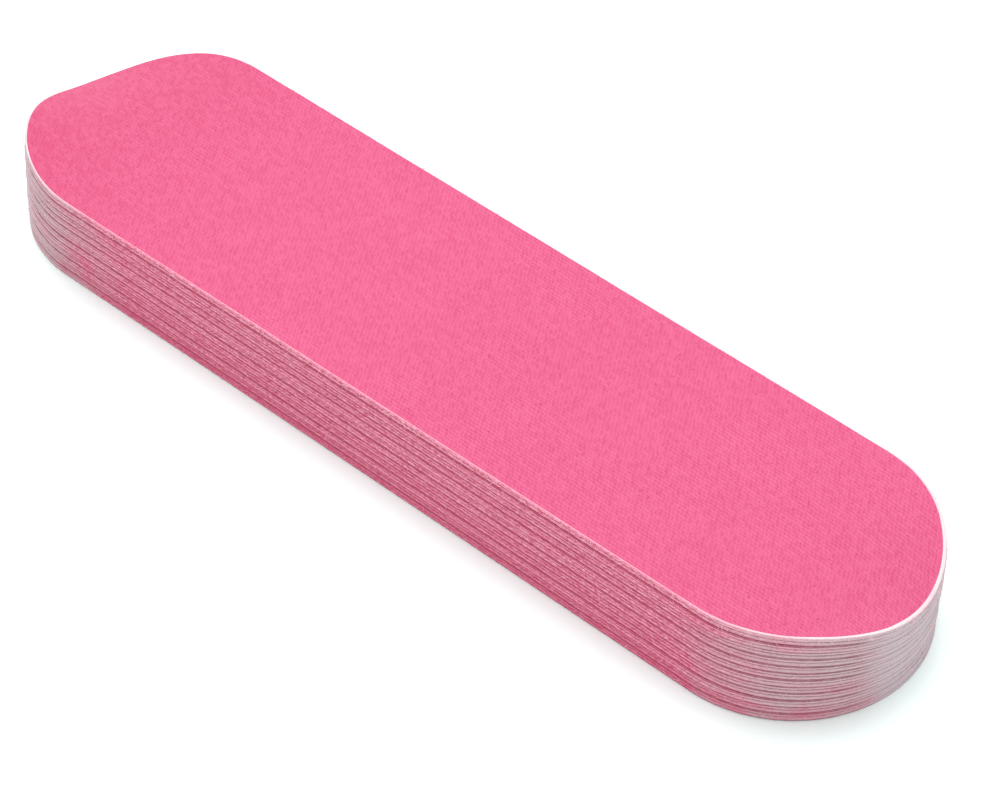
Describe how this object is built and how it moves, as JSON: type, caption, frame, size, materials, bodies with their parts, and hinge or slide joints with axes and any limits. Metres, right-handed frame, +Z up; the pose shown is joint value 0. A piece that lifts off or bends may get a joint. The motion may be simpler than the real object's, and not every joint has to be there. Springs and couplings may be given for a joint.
{
  "type": "nail buffer pad block",
  "caption": "Block of thin loose nail buffing pads stacked flat, each a round-ended strip of pink woven cloth bonded to a white foam backing.",
  "frame": {"origin": "centre of the block's footprint, on the surface it lies on", "axes": "+X along the pads, +Y across them, +Z up through the stack"},
  "size_m": [0.1004, 0.0252, 0.0096],
  "materials": {
    "pink_cloth": "fine ribbed weave, matt, with short fibres at the cut edge",
    "white_foam": "matt die-cut foam, tinted pink where the cloth's dye and fibres have rubbed on to it"
  },
  "bodies": {
    "pad_01": {"pad_01_backing": "white_foam", "pad_01_cloth": "pink_cloth"},
    "pad_02": {"pad_02_backing": "white_foam", "pad_02_cloth": "pink_cloth"},
    "pad_03": {"pad_03_backing": "white_foam", "pad_03_cloth": "pink_cloth"},
    "pad_04": {"pad_04_backing": "white_foam", "pad_04_cloth": "pink_cloth"},
    "pad_05": {"pad_05_backing": "white_foam", "pad_05_cloth": "pink_cloth"},
    "pad_06": {"pad_06_backing": "white_foam", "pad_06_cloth": "pink_cloth"},
    "pad_07": {"pad_07_backing": "white_foam", "pad_07_cloth": "pink_cloth"},
    "pad_08": {"pad_08_backing": "white_foam", "pad_08_cloth": "pink_cloth"},
    "pad_09": {"pad_09_backing": "white_foam", "pad_09_cloth": "pink_cloth"},
    "pad_10": {"pad_10_backing": "white_foam", "pad_10_cloth": "pink_cloth"},
    "pad_11": {"pad_11_backing": "white_foam", "pad_11_cloth": "pink_cloth"},
    "pad_12": {"pad_12_backing": "white_foam", "pad_12_cloth": "pink_cloth"}
  },
  "joints": [
    {"name": "pad_02_lift", "type": "slide", "parent": "pad_01", "child": "pad_02", "axis": [0, 0, 1], "range_m": [0, 0.02]},
    {"name": "pad_03_lift", "type": "slide", "parent": "pad_02", "child": "pad_03", "axis": [0, 0, 1], "range_m": [0, 0.02]},
    {"name": "pad_04_lift", "type": "slide", "parent": "pad_03", "child": "pad_04", "axis": [0, 0, 1], "range_m": [0, 0.02]},
    {"name": "pad_05_lift", "type": "slide", "parent": "pad_04", "child": "pad_05", "axis": [0, 0, 1], "range_m": [0, 0.02]},
    {"name": "pad_06_lift", "type": "slide", "parent": "pad_05", "child": "pad_06", "axis": [0, 0, 1], "range_m": [0, 0.02]},
    {"name": "pad_07_lift", "type": "slide", "parent": "pad_06", "child": "pad_07", "axis": [0, 0, 1], "range_m": [0, 0.02]},
    {"name": "pad_08_lift", "type": "slide", "parent": "pad_07", "child": "pad_08", "axis": [0, 0, 1], "range_m": [0, 0.02]},
    {"name": "pad_09_lift", "type": "slide", "parent": "pad_08", "child": "pad_09", "axis": [0, 0, 1], "range_m": [0, 0.02]},
    {"name": "pad_10_lift", "type": "slide", "parent": "pad_09", "child": "pad_10", "axis": [0, 0, 1], "range_m": [0, 0.02]},
    {"name": "pad_11_lift", "type": "slide", "parent": "pad_10", "child": "pad_11", "axis": [0, 0, 1], "range_m": [0, 0.02]},
    {"name": "pad_12_lift", "type": "slide", "parent": "pad_11", "child": "pad_12", "axis": [0, 0, 1], "range_m": [0, 0.02]}
  ]
}
